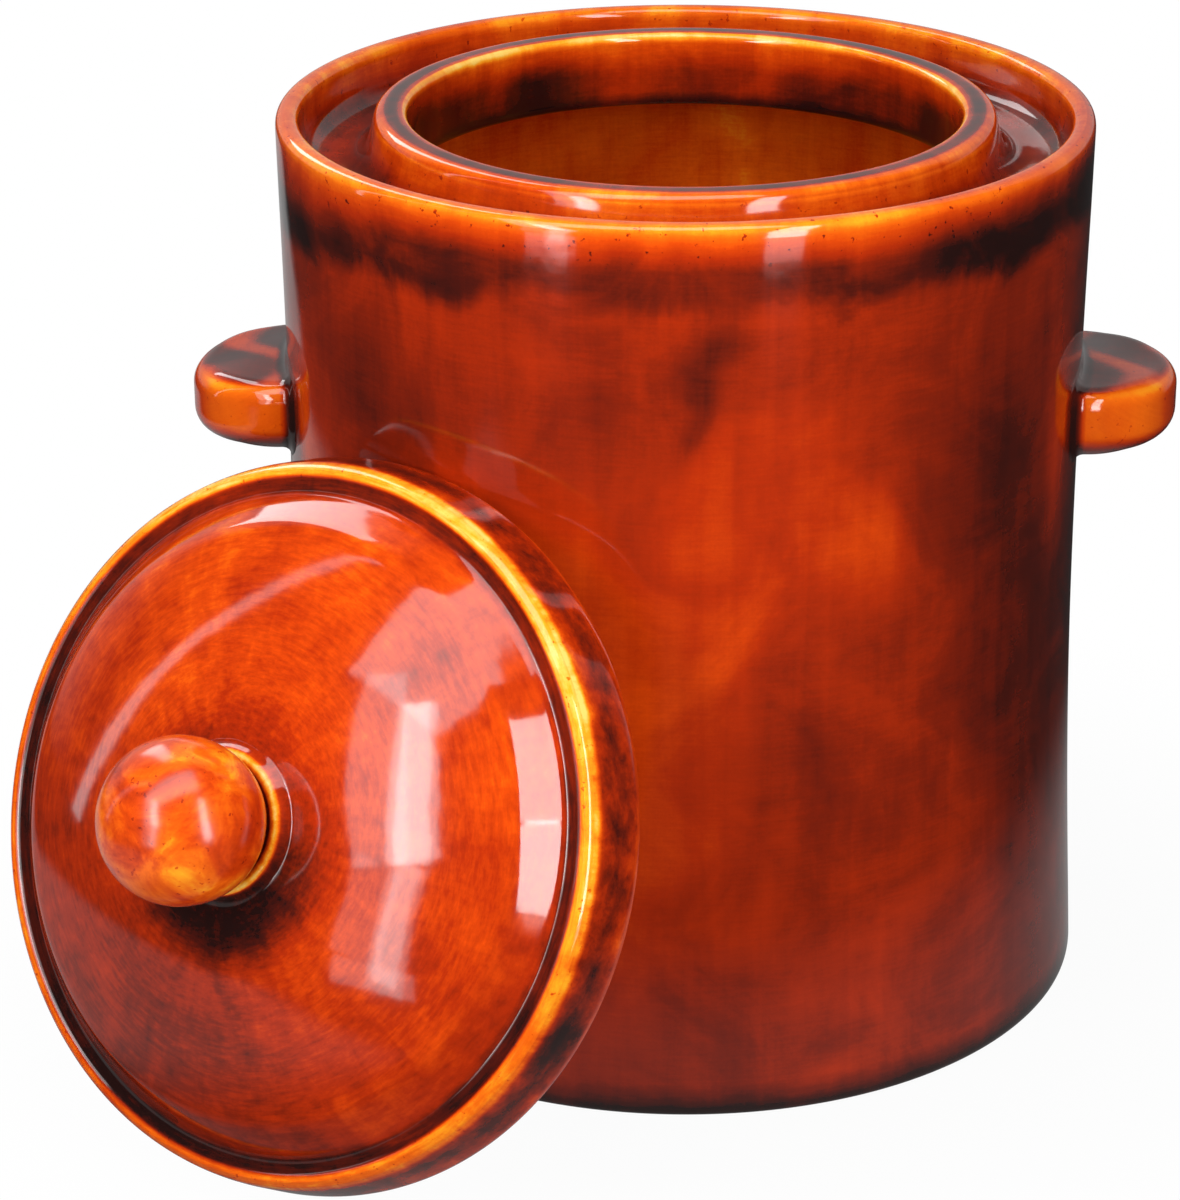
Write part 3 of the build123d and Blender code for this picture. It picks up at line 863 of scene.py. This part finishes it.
# studio
studio = {
    "floorReach": 1.6, "floorCells": 8, "floorTone": 0.38, "ambient": 0.075,
    # a mirrored ray sees the floor pale by the jar and in a patch to the left; each pair is where
    # a fade starts and ends, in metres from the middle
    "nearFade": (0.16, 0.30), "nearShare": 0.28, "patchShare": 0.42,
    "patchLeft": (0.18, 0.28), "patchEnd": (0.50, 0.57), "patchFront": (-0.50, -0.40),
    # how white the camera sees the floor, by the jar and away from it
    "shownFade": (0.12, 0.32), "shownShares": (0.96, 1.0),
    # the pale backdrop that a mirrored ray sees, by how far back and how high the ray points
    "behind": (0.3, 0.55), "above": (-0.12, 0.02), "backdrop": 0.5,
    # bottom and top of each lamp's middle line, its width, and its glow
    "lamps": {
        "leftFoot": ((-0.470, -0.700, 0.028), (-0.470, -0.700, 0.080), 0.200, 1.7),
        "leftLow": ((-0.440, -0.700, 0.030), (-0.400, -0.700, 0.310), 0.088, 2.0),
        "leftLowCore": ((-0.440, -0.702, 0.050), (-0.400, -0.702, 0.310), 0.060, 3.5),
        "leftHigh": ((-0.400, -0.700, 0.310), (-0.575, -0.700, 0.800), 0.125, 4.6),
        "leftHighCore": ((-0.400, -0.702, 0.310), (-0.575, -0.702, 0.800), 0.085, 5.8),
        "leftLowHaze": ((-0.540, -0.706, 0.080), (-0.500, -0.706, 0.310), 0.140, 1.3),
        "leftHighHaze": ((-0.500, -0.706, 0.310), (-0.828, -0.706, 1.020), 0.170, 2.6),
        "rightFoot": ((0.350, -0.740, 0.020), (0.350, -0.740, 0.100), 0.140, 2.6),
        "rightLow": ((0.350, -0.740, 0.100), (0.352, -0.740, 0.420), 0.140, 10.5),
        "rightHigh": ((0.352, -0.740, 0.420), (0.560, -0.740, 1.150), 0.150, 8.6),
        "overhead": ((-0.977, -0.966, 1.150), (0.270, -0.246, 1.150), 0.585, 3.3),
        "backLeft": ((-0.60, 0.75, 0.62), (-0.50, 0.55, 1.70), 0.30, 4.2),
        "leftEdge": ((-1.16, 0.11, 0.00), (-1.07, -0.34, 1.70), 0.050, 2.2),
    },
    "lampTarget": (0, -0.05, 0.15),
}
wattsPerGlow = 4  # watts on each square metre that make an area lamp look as bright as 1


def makeLamp(name, bottom, top, width, target, glow):
    # an area lamp whose long side runs from bottom to top, turned to face the target; a level
    # one faces straight down
    bottom, top, target = (np.array(v, float) for v in (bottom, top, target))
    tall = np.linalg.norm(top - bottom)
    rise = (top - bottom) / tall
    middle = (bottom + top) / 2
    isLevel = abs(top[2] - bottom[2]) < 0.01
    back = np.array([0, 0, 1.0]) if isLevel else middle - target
    back -= rise * (back @ rise)
    back /= np.linalg.norm(back)
    lamp = bpy.data.lights.new(name, "AREA")
    lamp.shape = "RECTANGLE"
    lamp.size, lamp.size_y = width, tall
    lamp.energy = glow * width * tall * wattsPerGlow
    holder = bpy.data.objects.new(name, lamp)
    sides = np.stack([np.cross(rise, back), rise, back, middle], 1)
    holder.matrix_world = Matrix(np.vstack([sides, [0, 0, 0, 1]]).tolist())
    bpy.context.scene.collection.objects.link(holder)


def rayKinds(batch):
    # 1 for a ray from the camera, straight or through glass, and 1 for a mirrored ray
    rays = batch.node("LightPath")
    shown = rays.math("MAXIMUM", rays, rays.port("Is Transmission Ray"))
    return shown, rays.port("Is Glossy Ray")


def makeFloor(look):
    # a flat sheet z = 0 as a grid, grey to the soft light and nearly white to the camera
    cells = look["floorCells"]
    side = np.linspace(-look["floorReach"], look["floorReach"], cells + 1)
    x, y = np.meshgrid(side, side)
    points = np.stack([x, y, 0 * x], -1).reshape(-1, 3)
    index = np.arange((cells + 1) ** 2).reshape(cells + 1, cells + 1)
    back, ahead = index[:-1], index[1:]
    quads = np.stack([back[:, :-1], back[:, 1:], ahead[:, 1:], ahead[:, :-1]], -1).reshape(-1, 4)
    mesh = bpy.data.meshes.new("studioFloor")
    mesh.from_pydata(points.tolist(), [], quads.tolist())
    floorPiece = bpy.data.objects.new("studioFloor", mesh)
    bpy.context.scene.collection.objects.link(floorPiece)
    material = bpy.data.materials.new("paleFloor")
    batch = Batch(material)
    shown, mirrored = rayKinds(batch)
    place = batch.node("TexCoord", {}, {}, objectPlace)
    away = batch.node("VectorMath", {"operation": "LENGTH"}, {0: place}, 1)
    across = batch.node("SeparateXYZ", {}, {0: place})
    left, front = across * -1.0, across.port(1)
    near = 1 - batch.between(away, *look["nearFade"])
    patch = batch.between(left, *look["patchLeft"]) * (1 - batch.between(left, *look["patchEnd"]))
    patch = patch * batch.between(front, *look["patchFront"])
    gloss = near.math("MAXIMUM", near * look["nearShare"], patch * look["patchShare"])
    byJar, beyond = look["shownShares"]
    whiteness = batch.between(away, *look["shownFade"]) * (beyond - byJar) + byJar
    pale = batch.node("BsdfDiffuse", {}, {"Color": (*[look["floorTone"]] * 3, 1)})
    glow = batch.node("Emission", {}, {"Color": (1, 1, 1, 1), "Strength": 1.0})
    dim = batch.node("Emission", {}, {"Color": (0.03, 0.03, 0.03, 1), "Strength": 1.0})
    lit = batch.node("MixShader", {}, {0: gloss, 1: dim, 2: glow})
    direct = batch.node("MixShader", {}, {0: whiteness, 1: pale, 2: glow})
    surface = batch.node("MixShader", {}, {0: mirrored, 1: pale, 2: lit})
    surface = batch.node("MixShader", {}, {0: shown, 1: surface, 2: direct})
    batch.node("OutputMaterial", {}, {"Surface": surface})
    mesh.materials.append(material)


def makeWorld(look):
    # white to the camera, a dim room to the gloss with a pale backdrop behind, and a soft fill
    world = bpy.data.worlds.new("studioRoom")
    bpy.context.scene.world = world
    batch = Batch(world)
    shown, mirrored = rayKinds(batch)
    parts = batch.node("SeparateXYZ", {}, {0: batch.node("TexCoord", {}, {}, generated)})
    behind = batch.between(parts.port(1), *look["behind"])
    behind = behind * batch.between(parts.port(2), *look["above"])
    light = lambda *colour, strength=1.0: batch.node(
        "Background", {}, {"Color": (*colour, 1), "Strength": strength}
    )
    white, fill = light(1, 1, 1), light(1, 1, 1, strength=look["ambient"])
    backdrop, dark = light(*[look["backdrop"]] * 3), light(0.03, 0.03, 0.033)
    room = batch.node("MixShader", {}, {0: behind, 1: dark, 2: backdrop})
    mixed = batch.node("MixShader", {}, {0: mirrored, 1: fill, 2: room})
    mixed = batch.node("MixShader", {}, {0: shown, 1: mixed, 2: white})
    batch.node("OutputWorld", {}, {"Surface": mixed})


makeFloor(studio)
makeWorld(studio)
for name, (bottom, top, width, glow) in studio["lamps"].items():
    makeLamp(name + "Lamp", bottom, top, width, studio["lampTarget"], glow)
bpy.context.scene.view_settings.view_transform = "Standard"
print("lamps are lit")
